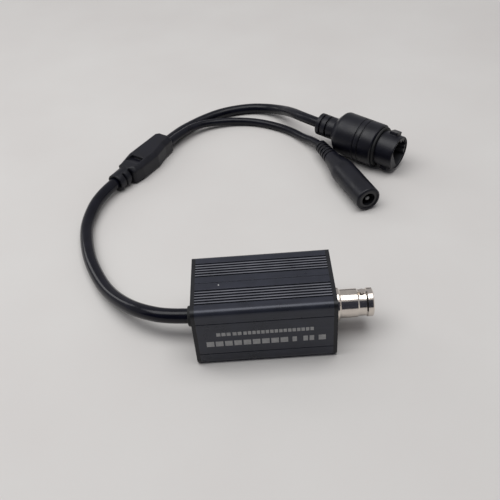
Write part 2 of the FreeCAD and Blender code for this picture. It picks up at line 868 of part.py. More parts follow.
def wire_header():
    """Shrouded header, open to the cable end."""
    body = new_body("wire_header")
    low, high, half, bottom, top = header_box()
    outline = new_sketch(body, "XY_Plane", bottom)
    rectangle(outline, low, -half, high, half)
    pad(body, outline, S.header_height)
    inside = new_sketch(body, "YZ_Plane", low)
    rectangle(inside, -half + S.header_wall, bottom + S.header_wall,
              half - S.header_wall, top - S.header_wall)
    pocket(body, inside, S.header_length - S.header_wall, backward=True)
    return body


def wire_plug():
    """Plug in the header, with grooves on its top."""
    body = new_body("wire_plug")
    low, high, half, bottom, top = header_box()
    inset = S.header_wall + S.fit_gap
    outline = new_sketch(body, "XY_Plane", bottom + inset)
    rectangle(outline, low - S.plug_stand_out, -half + inset, high - inset, half - inset)
    pad(body, outline, S.header_height - inset * 2)
    grooves = new_sketch(body, "XY_Plane", top - inset)
    rectangle(grooves, low - S.plug_stand_out, S.plug_groove_width * -0.5,
              high - inset, S.plug_groove_width * 0.5)
    pocket(body, grooves, S.plug_groove_depth)
    return body


# Circuit board and what stands on it


def main_board():
    """Board held by its long edges in the rails."""
    body = new_body("main_board", z=BOARD_BOTTOM)
    low = -HALF_LENGTH + S.board_rear_gap
    high = HALF_LENGTH - S.board_front_gap
    outline = new_sketch(body, "XY_Plane")
    rounded_rectangle(outline, high - low,
                      S.housing_width - S.wall * 2 - S.board_side_gap * 2,
                      S.board_corner, x=(low + high) * 0.5)
    pad(body, outline, S.board_thickness)
    return body


def beside_rail(side, gap, width):
    """The middle of a component that keeps its gap to the rail on the front or back side."""
    return (RAIL_EDGE - gap - width * 0.5) * side


def chip(label, prefix, side):
    """Moulded chip: bevelled top edges and a dot at its first pin."""
    x, gap, length, width, height = (
        getattr(S, "%s_%s" % (prefix, name))
        for name in ("x", "rail_gap", "length", "width", "height"))
    body = new_body(label, x=x, y=beside_rail(side, gap, width), z=BOARD_TOP)
    outline = new_sketch(body, "XY_Plane")
    rectangle(outline, length * -0.5, width * -0.5, length * 0.5, width * 0.5)
    pad(body, outline, height)
    round_edges(body, "Chamfer", S.chip_edge, lambda edge: lies_at_z(edge, height))
    dot = new_sketch(body, "XY_Plane", height)
    circle(dot, length * -0.5 + S.chip_dot_inset, width * 0.5 - S.chip_dot_inset,
           S.chip_dot_radius)
    pocket(body, dot, S.chip_dot_depth)
    return body


def ethernet_transformer():
    """Tall moulded block with a row of flat pins along each long side."""
    body = chip("ethernet_transformer", "transformer", BACK)
    row_length = S.transformer_pin_pitch * (S.transformer_pin_count - 1)
    start = row_length * -0.5
    edge = S.transformer_width * 0.5
    feet = new_sketch(body, "XY_Plane")
    rectangle(feet, start - S.transformer_pin_width * 0.5, edge - S.chip_edge,
              start + S.transformer_pin_width * 0.5, edge + S.transformer_pin_reach)
    foot = pad(body, feet, S.transformer_pin_thickness)
    repeat(body, [foot], [
        row(body, "X_Axis", S.transformer_pin_pitch, S.transformer_pin_count),
        mirror(body, "XZ_Plane")])
    return body


def clock_crystal():
    """Flat metal can on a wider base."""
    place = beside_rail(BACK, S.crystal_rail_gap, S.crystal_width)
    body = new_body("clock_crystal", x=S.crystal_x, y=place, z=BOARD_TOP)
    base = new_sketch(body, "XY_Plane")
    rounded_rectangle(base, S.crystal_length, S.crystal_width, S.chip_edge)
    pad(body, base, S.crystal_height * 0.5)
    can = new_sketch(body, "XY_Plane")
    rounded_rectangle(can, S.crystal_length - S.chip_edge * 2,
                      S.crystal_width - S.chip_edge * 2, S.chip_edge * 2)
    pad(body, can, S.crystal_height)
    return body


def power_inductor():
    """Shielded coil: a square ferrite block with cut corners and a round well on top."""
    place = beside_rail(FRONT, S.inductor_rail_gap, S.inductor_width)
    body = new_body("power_inductor", x=S.inductor_x, y=place, z=BOARD_TOP)
    outline = new_sketch(body, "XY_Plane")
    rectangle(outline, S.inductor_length * -0.5, S.inductor_width * -0.5,
              S.inductor_length * 0.5, S.inductor_width * 0.5)
    pad(body, outline, S.inductor_height)
    round_edges(body, "Chamfer", S.chip_dot_inset, lambda edge: (
        abs(edge.BoundBox.ZLength - number(S.inductor_height)) < 1e-4))
    well = new_sketch(body, "XY_Plane", S.inductor_height)
    circle(well, 0, 0, S.inductor_length * 0.5 - S.chip_edge * 2)
    circle(well, 0, 0, S.inductor_length * 0.5 - S.chip_dot_inset)
    pocket(body, well, S.chip_edge * 2)
    return body


def capacitors():
    """Two aluminium cans on square bases, one each side of the cable's plug."""
    body = new_body("capacitors", x=S.capacitor_x, z=BOARD_TOP)
    base = new_sketch(body, "XY_Plane")
    reach = S.capacitor_radius + S.chip_edge
    place = beside_rail(BACK, S.capacitor_rail_gap, reach * 2)
    rectangle(base, -reach, place - reach, reach, place + reach)
    foot = pad(body, base, S.capacitor_base)
    round_can = new_sketch(body, "XY_Plane")
    circle(round_can, 0, place, S.capacitor_radius)
    can = pad(body, round_can, S.capacitor_height)
    repeat(body, [foot, can], [mirror(body, "XZ_Plane")])
    return body


# Splitter


def splitter_moulding():
    """Moulded fork: a slotted strain relief, then a bevelled block with a scooped shoulder."""
    body = new_body("splitter_moulding", x=S.splitter_x, y=S.splitter_y, z=SPLITTER_LEVEL,
                    heading=S.splitter_heading)
    full = S.splitter_relief_radius
    relief = S.splitter_relief_length
    turned(body, (
        (0, S.splitter_recess_radius),
        (0, S.splitter_relief_start_radius),
        (relief, full),
        (S.splitter_near_shoulder, full),
        (S.splitter_near_shoulder, 0),
        (S.splitter_recess_depth, 0),
        (S.splitter_recess_depth, S.splitter_recess_radius),
    ))

    bridge = S.splitter_bridge_width * 0.5
    slots = new_sketch(body, "YZ_Plane", S.splitter_slot_place + S.splitter_slot_width)
    polygon(slots, (
        (bridge, full * -1.5),
        (full * 1.5, full * -1.5),
        (full * 1.5, full * 1.5),
        (bridge, full * 1.5),
        (bridge, S.splitter_core_radius - S.splitter_lip),
        (S.splitter_core_radius, 0),
        (bridge, S.splitter_lip - S.splitter_core_radius),
    ))
    slot = pocket(body, slots, S.splitter_slot_width)
    repeat(body, [slot], [row(body, "X_Axis", S.splitter_slot_pitch, S.splitter_slot_count),
                          mirror(body, "XZ_Plane")])

    half = S.splitter_half_width
    back = S.splitter_back_width
    end = S.splitter_length
    low = SPLITTER_LEVEL * -1
    block = new_sketch(body, "XY_Plane", low)
    polygon(block, (
        (relief, full * -1),
        (relief + S.splitter_flare, (full + S.splitter_flare) * -1),
        (S.splitter_near_shoulder, half * -1),
        (S.splitter_cheek_start, half * -1),
        (S.splitter_cheek_end, S.splitter_cheek_half_width * -1),
        (end, S.splitter_nose_half_width * -1),
        (end, back - S.splitter_back_corner),
        (end - S.splitter_back_corner, back),
        (S.splitter_back_shoulder, back),
        (relief + S.splitter_flare, full),
        (relief, full),
    ))
    pad(body, block, S.splitter_height)

    def outer(edge):
        box = edge.BoundBox
        return box.XMin > number(relief) - 0.01 and box.XLength > 0.01

    round_edges(body, "Chamfer", S.splitter_near_bevel, lambda edge: (
        outer(edge) and lies_at_z(edge, SPLITTER_LEVEL) and edge.BoundBox.YMax < 0))
    round_edges(body, "Chamfer", S.splitter_bevel, lambda edge: (
        outer(edge) and edge.BoundBox.YMin > 0 and lies_at_z(edge, SPLITTER_LEVEL)
        or outer(edge) and lies_at_z(edge, low)))

    scoop = new_sketch(body, "XZ_Plane")
    top = SPLITTER_LEVEL
    above = top + S.splitter_scoop_depth
    face = S.splitter_scoop_end
    polygon(scoop, (
        (S.splitter_scoop_start, top),
        (face, top - S.splitter_scoop_depth),
        (face, top - S.splitter_lip),
        (face + S.splitter_lip, top),
        (face + S.splitter_lip, above),
        (S.splitter_scoop_start, above),
    ))
    pocket(body, scoop, S.splitter_scoop_width, both_ways=True)
    return body


# Network socket


def network_piece(label, turn):
    return new_body(label, x=S.network_x, y=S.network_y, z=S.network_level,
                    heading=S.network_heading, pitch=S.network_pitch, roll=turn)


def network_socket_body():
    """Over-moulded boot, shoulder and grip, then the bayonet barrel with its two lugs."""
    body = network_piece("network_socket_body", S.network_lug_turn)
    boot = S.network_boot_radius
    full = S.network_radius
    profile = [(0, 0), (0, boot)]
    for i in range(2):
        low = S.network_boot_groove + S.network_boot_pitch * i
        high = low + S.network_boot_groove_width
        deep = boot - S.network_boot_groove_depth
        profile += [(low, boot), (low, deep), (high, deep), (high, boot)]
    profile += [(S.network_boot_length, boot),
                (S.network_boot_length, boot + S.network_boot_step),
                (S.network_shoulder_end, full)]
    for i in range(2):
        low = S.network_ring_place + S.network_ring_pitch * i
        high = low + S.network_ring_width
        deep = full - S.network_ring_depth
        profile += [(low, full), (low, deep), (high, deep), (high, full)]
    neck_end = S.network_body_end + S.network_neck_length
    floor = S.network_length - S.network_bore_depth
    profile += [(S.network_body_end - S.network_body_edge, full),
                (S.network_body_end, full - S.network_body_edge),
                (S.network_body_end, S.network_neck_radius),
                (neck_end, S.network_neck_radius),
                (neck_end, S.network_barrel_radius),
                (S.network_length - S.network_mouth_edge, S.network_mouth_radius),
                (S.network_length, S.network_mouth_radius - S.network_mouth_edge),
                (S.network_length, S.network_bore_radius),
                (floor, S.network_bore_radius),
                (floor, 0)]
    turned(body, profile)
    round_edges(body, "Fillet", S.network_shoulder_round,
                lambda edge: lies_at_x(edge, S.network_shoulder_end))
    root = S.network_bore_radius + S.fit_gap
    base = new_sketch(body, "XY_Plane", root)
    lug_length = S.network_lug_length
    rounded_rectangle(base, lug_length, S.network_lug_width, S.network_lug_edge,
                      x=S.network_lug_start + lug_length * 0.5)
    lug = pad(body, base, S.network_lug_reach - root)
    repeat(body, [lug], [mirror(body, "XY_Plane")])
    return body


def sealing_ring():
    """Rubber ring in the neck between the grip and the barrel."""
    body = network_piece("sealing_ring", S.network_lug_turn)
    low = S.network_body_end + S.seal_side_gap
    high = S.network_body_end + S.network_neck_length - S.seal_side_gap
    inner = S.network_neck_radius + S.fit_gap
    edge = (high - low) * 0.25
    turned(body, (
        (low, inner),
        (low, S.seal_reach - edge),
        (low + edge, S.seal_reach),
        (high - edge, S.seal_reach),
        (high, S.seal_reach - edge),
        (high, inner),
    ))
    return body


def network_socket_insert():
    """Eight-way modular jack in the barrel, with its latch channel and contact slots."""
    body = network_piece("network_socket_insert", S.network_jack_turn)
    front = S.network_length - S.insert_setback
    rear = S.network_length - S.network_bore_depth
    disc = new_sketch(body, "YZ_Plane", rear)
    circle(disc, 0, 0, S.network_bore_radius - S.fit_gap)
    pad(body, disc, front - rear)
    half = S.jack_width * 0.5
    top = S.jack_height * 0.5
    step = top + S.latch_height
    mouth = new_sketch(body, "YZ_Plane", front)
    polygon(mouth, (
        (half * -1, top * -1),
        (half, top * -1),
        (half, top),
        (S.latch_width * 0.5, top),
        (S.latch_width * 0.5, step),
        (S.latch_slot_width * 0.5, step),
        (S.latch_slot_width * 0.5, step + S.latch_slot_height),
        (S.latch_slot_width * -0.5, step + S.latch_slot_height),
        (S.latch_slot_width * -0.5, step),
        (S.latch_width * -0.5, step),
        (S.latch_width * -0.5, top),
        (half * -1, top),
    ))
    pocket(body, mouth, S.jack_depth)
    first = S.contact_pitch * (S.contact_count - 1) * -0.5
    slot_half = S.contact_width * 0.5 + S.fit_gap
    slots = new_sketch(body, "YZ_Plane", front)
    rectangle(slots, first - slot_half, top * -1 - S.contact_seat_depth,
              first + slot_half, top * -1 + S.fit_gap)
    slot = pocket(body, slots, S.jack_depth)
    repeat(body, [slot], [row(body, "Y_Axis", S.contact_pitch, S.contact_count)])
    return body


def network_contacts():
    """Eight bent spring contacts, seated in the slots and rising towards the back."""
    body = network_piece("network_contacts", S.network_jack_turn)
    thick = S.contact_thickness
    near = S.network_length - S.insert_setback - S.contact_front
    bend = near - S.contact_front
    far = near - S.contact_length
    floor = S.jack_height * -0.5 - S.contact_seat_depth
    first = S.contact_pitch * (S.contact_count - 1) * -0.5
    strip = new_sketch(body, "XZ_Plane", -first)
    polygon(strip, (
        (near, floor),
        (near, floor + thick),
        (bend, floor + thick),
        (far, floor + thick + S.contact_rise),
        (far, floor + S.contact_rise),
        (bend, floor),
    ))
    contact = pad(body, strip, S.contact_width, both_ways=True)
    repeat(body, [contact], [row(body, "Y_Axis", S.contact_pitch, S.contact_count)])
    return body


# Power socket


def power_piece(label):
    return new_body(label, x=S.power_x, y=S.power_y, z=S.power_level, heading=S.power_heading)


def power_socket_body():
    """Ringed boot, soft shoulder and straight grip with the socket's cavity in its front."""
    body = power_piece("power_socket_body")
    thin = S.power_boot_start_radius
    growth = (S.power_boot_end_radius - thin) / S.power_boot_length
    last_ring = S.power_boot_length - S.power_ring_margin - S.power_ring_width
    pitch = (last_ring - S.power_ring_place) / (S.power_ring_count - 1)
    profile = [(0, 0), (0, thin)]
    for i in range(SIZES["power_ring_count"]):
        low = S.power_ring_place + pitch * i
        high = low + S.power_ring_width
        low_radius = thin + growth * low
        high_radius = thin + growth * high
        profile += [(low, low_radius), (low, low_radius - S.power_ring_depth),
                    (high, high_radius - S.power_ring_depth), (high, high_radius)]
    floor = S.power_length - S.power_cavity_depth
    profile += [(S.power_boot_length, S.power_boot_end_radius),
                (S.power_shoulder_end, S.power_radius),
                (S.power_length, S.power_front_radius),
                (S.power_length, S.power_cavity_radius),
                (floor, S.power_cavity_radius),
                (floor, 0)]
    turned(body, profile)
    round_edges(body, "Fillet", S.power_shoulder_round, lambda edge: (
        lies_at_x(edge, S.power_boot_length) or lies_at_x(edge, S.power_shoulder_end)))
    round_edges(body, "Fillet", S.power_front_edge, lambda edge: (
        lies_at_x(edge, S.power_length)
        and edge.BoundBox.YMax > number(S.power_cavity_radius) + 0.1))
    return body


def power_socket_liner():
    """Insulating liner with a window for the side contact."""
    body = power_piece("power_socket_liner")
    rear = S.power_length - S.power_cavity_depth
    front = S.power_length - S.power_liner_setback
    outer = S.power_cavity_radius - S.fit_gap
    turned(body, (
        (rear, S.power_pin_radius + S.fit_gap),
        (rear, outer),
        (front, outer),
        (front, S.power_bore_radius),
        (rear + S.power_liner_floor, S.power_bore_radius),
        (rear + S.power_liner_floor, S.power_pin_radius + S.fit_gap),
    ))
    window = new_sketch(body, "XY_Plane")
    near = front - S.power_spring_setback
    gap = S.fit_gap
    half = S.power_spring_width * 0.5 + gap
    rectangle(window, near - S.power_spring_length - gap, -half, near + gap, half)
    pocket(body, window, S.power_cavity_radius)
    return body


def power_socket_contact():
    """Flat side contact in the liner's window."""
    body = power_piece("power_socket_contact")
    near = S.power_length - S.power_liner_setback - S.power_spring_setback
    level = -(S.power_bore_radius + S.power_spring_thickness)
    strip = new_sketch(body, "XY_Plane", level)
    half = S.power_spring_width * 0.5
    rectangle(strip, near - S.power_spring_length, -half, near, half)
    pad(body, strip, S.power_spring_thickness)
    return body


def power_socket_pin():
    """Centre pin with a rounded tip."""
    body = power_piece("power_socket_pin")
    rear = S.power_length - S.power_cavity_depth
    tip = S.power_length - S.power_pin_setback
    turned(body, ((rear, 0), (rear, S.power_pin_radius), (tip, S.power_pin_radius), (tip, 0)))
    round_edges(body, "Fillet", S.power_pin_radius * 0.6, lambda edge: lies_at_x(edge, tip))
    return body


# Cords and wires


def bent_path(label, points):
    """Straight runs joined by tangent arcs, each as large as its two runs allow."""
    edges = []
    radii = []
    start = points[0]
    for before, corner, after in zip(points, points[1:], points[2:]):
        arriving = corner - before
        leaving = after - corner
        cut = ARC_SHARE * min(arriving.Length, leaving.Length)
        turn = arriving.getAngle(leaving)
        radius = cut / math.tan(turn / 2)
        arriving.normalize()
        leaving.normalize()
        arc_start = corner - arriving * cut
        arc_end = corner + leaving * cut
        inward = leaving - arriving
        inward.normalize()
        middle = corner + inward * (radius / math.cos(turn / 2) - radius)
        edges.append(Part.LineSegment(start, arc_start).toShape())
        edges.append(Part.Arc(arc_start, middle, arc_end).toShape())
        radii.append(round(radius, 1))
        start = arc_end
    edges.append(Part.LineSegment(start, points[-1]).toShape())
    print(label, "bend radii", radii)
    return Part.Wire(edges)


def tube(label, points, radius):
    """A round solid along a bent path, its volume compared with section times length."""
    path = bent_path(label, points)
    ring = Part.Wire(Part.makeCircle(radius, points[0], points[1] - points[0]))
    solid = path.makePipeShell([ring], True, True)
    expected = math.pi * radius ** 2 * path.Length
    if abs(solid.Volume / expected - 1) > 0.001:
        raise RuntimeError("%s has the wrong volume" % label)
    print(label, "length", round(path.Length, 1))
    return solid


def soft_piece(label, shape):
    piece = doc.addObject("Part::Feature", label)
    piece.Label = label
    piece.Shape = shape
    piece.Placement = FreeCAD.Placement()
    return piece


def along(origin, heading, forward, side=0, level=0, pitch=0):
    """A point of a turned piece, from its own forward, side and level."""
    turn = FreeCAD.Rotation(heading, pitch, 0)
    return origin + turn.multVec(Vector(forward, side, level))


def route(points):
    return [Vector(*point) for point in points]


def main_cable():
    """From inside the box, through the grommet, and round to the splitter."""
    start = Vector(-number(HALF_LENGTH) + number(S.cable_inside), 0, number(S.cable_height))
    face = Vector(S.splitter_x.number, S.splitter_y.number, SPLITTER_LEVEL.number)
    heading = S.splitter_heading.number
    points = [start, start - Vector(MAIN_FIRST_RUN, 0, 0)] + route(MAIN_ROUTE)
    points += [along(face, heading, -MAIN_LAST_RUN),
               along(face, heading, S.splitter_recess_depth.number)]
    return soft_piece("main_cable", tube("main_cable", points, S.cable_radius.number))


def lead(label, side, level, radius, middle, end, last):
    """One of the two leads, from the splitter's face to the boot of its socket."""
    splitter = Vector(S.splitter_x.number, S.splitter_y.number, 0)
    heading = S.splitter_heading.number
    face = S.splitter_length.number
    points = [along(splitter, heading, face, side, level),
              along(splitter, heading, face + LEAD_FIRST_RUN, side, level)]
    points += route(middle) + [last, end]
    return soft_piece(label, tube(label, points, radius))


def network_lead():
    boot = Vector(S.network_x.number, S.network_y.number, S.network_level.number)
    last = along(boot, S.network_heading.number, -NETWORK_LAST_RUN,
                 pitch=S.network_pitch.number)
    return lead("network_lead", S.network_lead_side.number, S.network_lead_level.number,
                S.network_lead_radius.number, NETWORK_ROUTE, boot, last)


def power_lead():
    boot = Vector(S.power_x.number, S.power_y.number, S.power_level.number)
    last = along(boot, S.power_heading.number, -POWER_LAST_RUN)
    return lead("power_lead", S.power_lead_side.number, S.power_lead_level.number,
                S.power_lead_radius.number, POWER_ROUTE, boot, last)


def inner_wires():
    """Four wires from the end of the cable's jacket to the plug on the board."""
    body = new_body("inner_wires", z=S.cable_height + S.wire_level)
    start = S.cable_inside - HALF_LENGTH
    end = header_box()[0] - S.plug_stand_out
    ends = new_sketch(body, "YZ_Plane", start)
    for place in (-1.5, -0.5, 0.5, 1.5):
        circle(ends, S.wire_pitch * place, 0, S.wire_radius)
    pad(body, ends, end - start)
    return body


# The whole object


def build():
    return [
        housing_extrusion(),
        end_plate("bnc_end_plate", HALF_LENGTH, 0, S.bnc_offset, S.bnc_height,
                  S.bnc_shank_radius + S.fit_gap),
        end_plate("cable_end_plate", -HALF_LENGTH, S.half_turn, 0, S.cable_height,
                  S.grommet_neck_radius + S.fit_gap),
        plate_screws("bnc_plate_screws", HALF_LENGTH, 0),
        plate_screws("cable_plate_screws", -HALF_LENGTH, S.half_turn),
        bnc_body(),
        bnc_insulator(),
        bnc_centre_contact(),
        bnc_lock_washer(),
        bnc_panel_nut(),
        cable_grommet(),
        main_board(),
        chip("encoder_chip", "encoder", FRONT),
        chip("video_receiver_chip", "receiver", FRONT),
        chip("memory_chip", "memory", BACK),
        ethernet_transformer(),
        clock_crystal(),
        power_inductor(),
        capacitors(),
        wire_header(),
        wire_plug(),
        inner_wires(),
        main_cable(),
        splitter_moulding(),
        network_lead(),
        power_lead(),
        network_socket_body(),
        sealing_ring(),
        network_socket_insert(),
        network_contacts(),
        power_socket_body(),
        power_socket_liner(),
        power_socket_contact(),
        power_socket_pin(),
    ]


def check(pieces):
    """Stop on a failed object, a cut that cuts nothing, or an unsound solid."""
    for item in doc.Objects:
        if "Invalid" in item.State or "Error" in item.State:
            raise RuntimeError("%s failed: %s" % (item.Label, item.State))
    for piece in pieces:
        if piece.Shape.isNull() or not piece.Shape.isValid():
            raise RuntimeError("unsound shape: " + piece.Label)
        if not piece.isDerivedFrom("PartDesign::Body"):
            continue
        cuts = [item for item in piece.Group if item.isDerivedFrom("PartDesign::Pocket")]
        for cut in cuts:
            before = cut.BaseFeature.Shape.Volume
            if cut.Shape.Volume > before - 1e-6:
                raise RuntimeError("a cut misses its solid in " + piece.Label)


def export(pieces):
    os.makedirs("parts", exist_ok=True)
    for piece in pieces:
        piece.Shape.exportStep("parts/%s.step" % piece.Label)
        print(piece.Label, "solids", len(piece.Shape.Solids), "volume",
              round(piece.Shape.Volume, 1))


PIECES = build()
doc.recompute()
check(PIECES)
export(PIECES)
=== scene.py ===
import math

import bmesh
import bpy
from mathutils import Matrix, Vector


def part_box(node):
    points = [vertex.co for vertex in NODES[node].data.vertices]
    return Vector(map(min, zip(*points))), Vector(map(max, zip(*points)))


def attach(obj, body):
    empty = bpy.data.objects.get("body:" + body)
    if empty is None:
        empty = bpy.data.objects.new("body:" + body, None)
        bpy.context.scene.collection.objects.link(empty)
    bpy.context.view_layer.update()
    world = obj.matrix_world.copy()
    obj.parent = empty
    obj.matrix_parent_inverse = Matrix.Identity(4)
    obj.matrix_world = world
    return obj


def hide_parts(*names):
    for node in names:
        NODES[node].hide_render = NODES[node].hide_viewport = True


# Video encoder: looks, cords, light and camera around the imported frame. Lengths are in
# metres; sizes that are easier to read in millimetres are multiplied by MM.

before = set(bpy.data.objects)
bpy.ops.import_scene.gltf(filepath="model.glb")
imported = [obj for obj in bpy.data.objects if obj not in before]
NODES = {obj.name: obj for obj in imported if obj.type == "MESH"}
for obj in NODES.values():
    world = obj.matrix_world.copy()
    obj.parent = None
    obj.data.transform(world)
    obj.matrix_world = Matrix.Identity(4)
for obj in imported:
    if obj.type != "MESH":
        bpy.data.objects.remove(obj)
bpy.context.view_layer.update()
MM = 0.001

# Where the camera stood: focal length in pixels of the 500-pixel frame, angles in degrees
FRAME_PIXELS = 500
FOCAL_PIXELS = 681
SENSOR_MM = 36.0
CAMERA_PLACE = Vector((0.1, -158.0, 176.2)) * MM
CAMERA_DOWN = 41.38
CAMERA_HEADING = -1.12
CAMERA_ROLL = -4.75
CLIP_NEAR = 10 * MM
CLIP_FAR = 10.0

# The route of each cord: corners of its straight runs, in millimetres
MAIN_ROUTE = (
    (-19.6, 0.0, 9.3),
    (-31.2, 0.0, 9.3),
    (-42.5, 4.9, 8.2),
    (-50.7, 12.9, 5.4),
    (-57.2, 21.7, 3.2),
    (-62.3, 31.2, 2.65),
    (-66.4, 41.1, 2.65),
    (-69.2, 52.4, 2.65),
    (-70.4, 63.6, 2.8),
    (-67.02, 79.41, 4.15),
    (-60.71, 88.43, 4.15),
)
NETWORK_ROUTE = (
    (-42.2, 119.05, 2.55),
    (-37.15, 126.25, 2.55),
    (-32.5, 132.0, 2.4),
    (-22.4, 140.3, 2.4),
    (-12.6, 145.5, 2.4),
    (-0.3, 147.5, 2.4),
    (8.9, 145.2, 2.8),
    (15.9, 138.9, 4.8),
    (19.8, 130.2, 8.4),
    (25.07, 119.57, 11.17),
    (31.97, 113.8, 10.78),
)
POWER_ROUTE = (
    (-39.05, 116.84, 4.65),
    (-34.0, 124.05, 4.65),
    (-26.4, 131.8, 4.1),
    (-16.4, 136.0, 2.7),
    (-3.1, 136.3, 1.9),
    (8.0, 132.2, 1.85),
    (18.6, 124.3, 1.95),
    (24.6, 115.4, 2.7),
    (28.5, 109.6, 4.5),
    (30.92, 103.8, 5.32),
)
MAIN_RADIUS = 2.6
NETWORK_RADIUS = 2.35
POWER_RADIUS = 1.8

# A cord's spline: its order, its steps from corner to corner and how finely it is round
CORD_ORDER = 3
CORD_STEPS = 12
CORD_ROUND_STEPS = 7


# Camera


def photo_camera():
    """The camera at the photograph's place, angle and focal length."""
    down = math.radians(CAMERA_DOWN)
    heading = math.radians(CAMERA_HEADING)
    roll = math.radians(CAMERA_ROLL)
    forward = Vector((math.sin(heading) * math.cos(down),
                      math.cos(heading) * math.cos(down),
                      -math.sin(down)))
    right = Vector((math.cos(heading), -math.sin(heading), 0))
    up = right.cross(forward)
    rolled_right = right * math.cos(roll) + up * math.sin(roll)
    rolled_up = up * math.cos(roll) - right * math.sin(roll)
    camera = bpy.data.objects.new("camera", bpy.data.cameras.new("camera"))
    bpy.context.scene.collection.objects.link(camera)
    camera.data.sensor_width = SENSOR_MM
    camera.data.lens = FOCAL_PIXELS / FRAME_PIXELS * SENSOR_MM
    camera.data.clip_start = CLIP_NEAR
    camera.data.clip_end = CLIP_FAR
    turn = Matrix((rolled_right, rolled_up, -forward)).transposed().to_4x4()
    camera.matrix_world = Matrix.Translation(CAMERA_PLACE) @ turn
    bpy.context.scene.camera = camera


photo_camera()


# Cords


def cord_curve(name, route, radius):
    """A smooth round cord whose NURBS spline takes the route's corners as control points."""
    curve = bpy.data.curves.new(name, "CURVE")
    curve.dimensions = "3D"
    spline = curve.splines.new("NURBS")
    spline.points.add(len(route) - 1)
    for point, place in zip(spline.points, route):
        point.co = (*(Vector(place) * MM), 1)
    spline.order_u = CORD_ORDER
    spline.use_endpoint_u = True
    spline.resolution_u = CORD_STEPS
    spline.use_smooth = True
    curve.bevel_depth = radius * MM
    curve.bevel_resolution = CORD_ROUND_STEPS
    curve.use_fill_caps = True
    cord = bpy.data.objects.new(name, curve)
    bpy.context.scene.collection.objects.link(cord)
    return cord


def spline_length(cord):
    """Length of a cord's centreline, from the same curve with no thickness."""
    line = cord.copy()
    line.data = cord.data.copy()
    line.data.bevel_depth = 0
    bpy.context.scene.collection.objects.link(line)
    mesh = bpy.data.meshes.new_from_object(line.evaluated_get(
        bpy.context.evaluated_depsgraph_get()))
    places = [vertex.co for vertex in mesh.vertices]
    length = sum((b - a).length for a, b in zip(places, places[1:]))
    bpy.data.meshes.remove(mesh)
    bpy.data.objects.remove(line)
    return length


main_cable = cord_curve("main_cable_jacket", MAIN_ROUTE, MAIN_RADIUS)
network_lead = cord_curve("network_lead_jacket", NETWORK_ROUTE, NETWORK_RADIUS)
power_lead = cord_curve("power_lead_jacket", POWER_ROUTE, POWER_RADIUS)


# Shader helpers

# The noise pattern seldom leaves this span
NOISE_SPAN = {"From Min": 0.3, "From Max": 0.7}

# The colour mix's sockets share their names with others, so they go by number
AMOUNT = 0
FIRST = 6
SECOND = 7

# Rays that look for a near edge, for edges that look rounded
EDGE_RAYS = 6

# How finely the noise breaks up, for patches and for grain
PATCH_DETAIL = 4.0
GRAIN_DETAIL = 3.0


def linear(code):
    """An sRGB hex colour as the linear colour that a socket takes."""
    parts = [int(code[i:i + 2], 16) / 255 for i in (1, 3, 5)]
    return (*[p / 12.92 if p <= 0.04045 else ((p + 0.055) / 1.055) ** 2.4 for p in parts], 1)


def per_metre(size_mm):
    """Scale of a pattern whose features are that many millimetres wide."""
    return 1 / (size_mm * MM)


def add(tree, kind, sockets=None, **settings):
    """Add a node with its settings. Each socket takes a value, an output that is linked to
    it, or a node, whose first output in use is linked to it."""
    node = tree.nodes.new(kind)
    for name, value in settings.items():
        setattr(node, name, value)
    for name, value in (sockets or {}).items():
        if isinstance(value, bpy.types.Node):
            value = next(output for output in value.outputs if output.enabled)
        if isinstance(value, bpy.types.NodeSocket):
            tree.links.new(value, node.inputs[name])
        else:
            node.inputs[name].default_value = value
    return node


def new_material(name):
    """An empty material and its node tree."""
    material = bpy.data.materials.new(name)
    material.use_nodes = True
    material.node_tree.nodes.clear()
    return material, material.node_tree


def close_material(tree, sockets):
    """The surface itself, led to the material's output."""
    surface = add(tree, "ShaderNodeBsdfPrincipled", sockets)
    add(tree, "ShaderNodeOutputMaterial", {"Surface": surface})


def place_on_piece(tree, stretch=(1, 1, 1)):
    """Object coordinates, stretched along the piece's axes."""
    place = add(tree, "ShaderNodeTexCoord")
    return add(tree, "ShaderNodeMapping", {
        "Vector": place.outputs["Object"], "Scale": stretch})


def drift(tree, place, size_mm, detail, low, high):
    """A number that drifts between low and high over spots of that many millimetres."""
    spots = add(tree, "ShaderNodeTexNoise", {
        "Vector": place, "Scale": per_metre(size_mm), "Detail": detail})
    return add(tree, "ShaderNodeMapRange", {
        "Value": spots, "To Min": low, "To Max": high, **NOISE_SPAN})


def relief(tree, place, size_mm, detail, depth_mm, edge_mm=0.0):
    """Fine relief of grains of that size, on edges that look rounded by edge_mm."""
    grain = add(tree, "ShaderNodeTexNoise", {
        "Vector": place, "Scale": per_metre(size_mm), "Detail": detail})
    sockets = {"Height": grain, "Distance": depth_mm * MM}
    if edge_mm:
        sockets["Normal"] = add(tree, "ShaderNodeBevel", {"Radius": edge_mm * MM},
                                samples=EDGE_RAYS)
    return add(tree, "ShaderNodeBump", sockets)


def plain_finish(name, dark, light, roughness, patch_mm, grain_mm, grain_depth_mm,
                 metallic=0.0, shine=0.5, edge_mm=0.0):
    """A finish with two close tones, uneven gloss, a fine grain and softened edges. The
    grain is drawn coarser than the real one where that is too fine to show."""
    material, tree = new_material(name)
    place = place_on_piece(tree)
    tone = drift(tree, place, patch_mm, PATCH_DETAIL, low=0, high=1)
    close_material(tree, {
        "Base Color": add(tree, "ShaderNodeMix", {
            AMOUNT: tone, FIRST: linear(dark), SECOND: linear(light)}, data_type="RGBA"),
        "Metallic": metallic,
        "Roughness": drift(tree, place, patch_mm, PATCH_DETAIL, *roughness),
        "Specular IOR Level": shine,
        "Normal": relief(tree, place, grain_mm, GRAIN_DETAIL, grain_depth_mm, edge_mm),
    })
    return material


# Materials

# Ribs on the tube's top and underside, measured out from its middle line
RIB_START = 3.3
RIB_END = 9.3
RIB_PITCH = 1.2

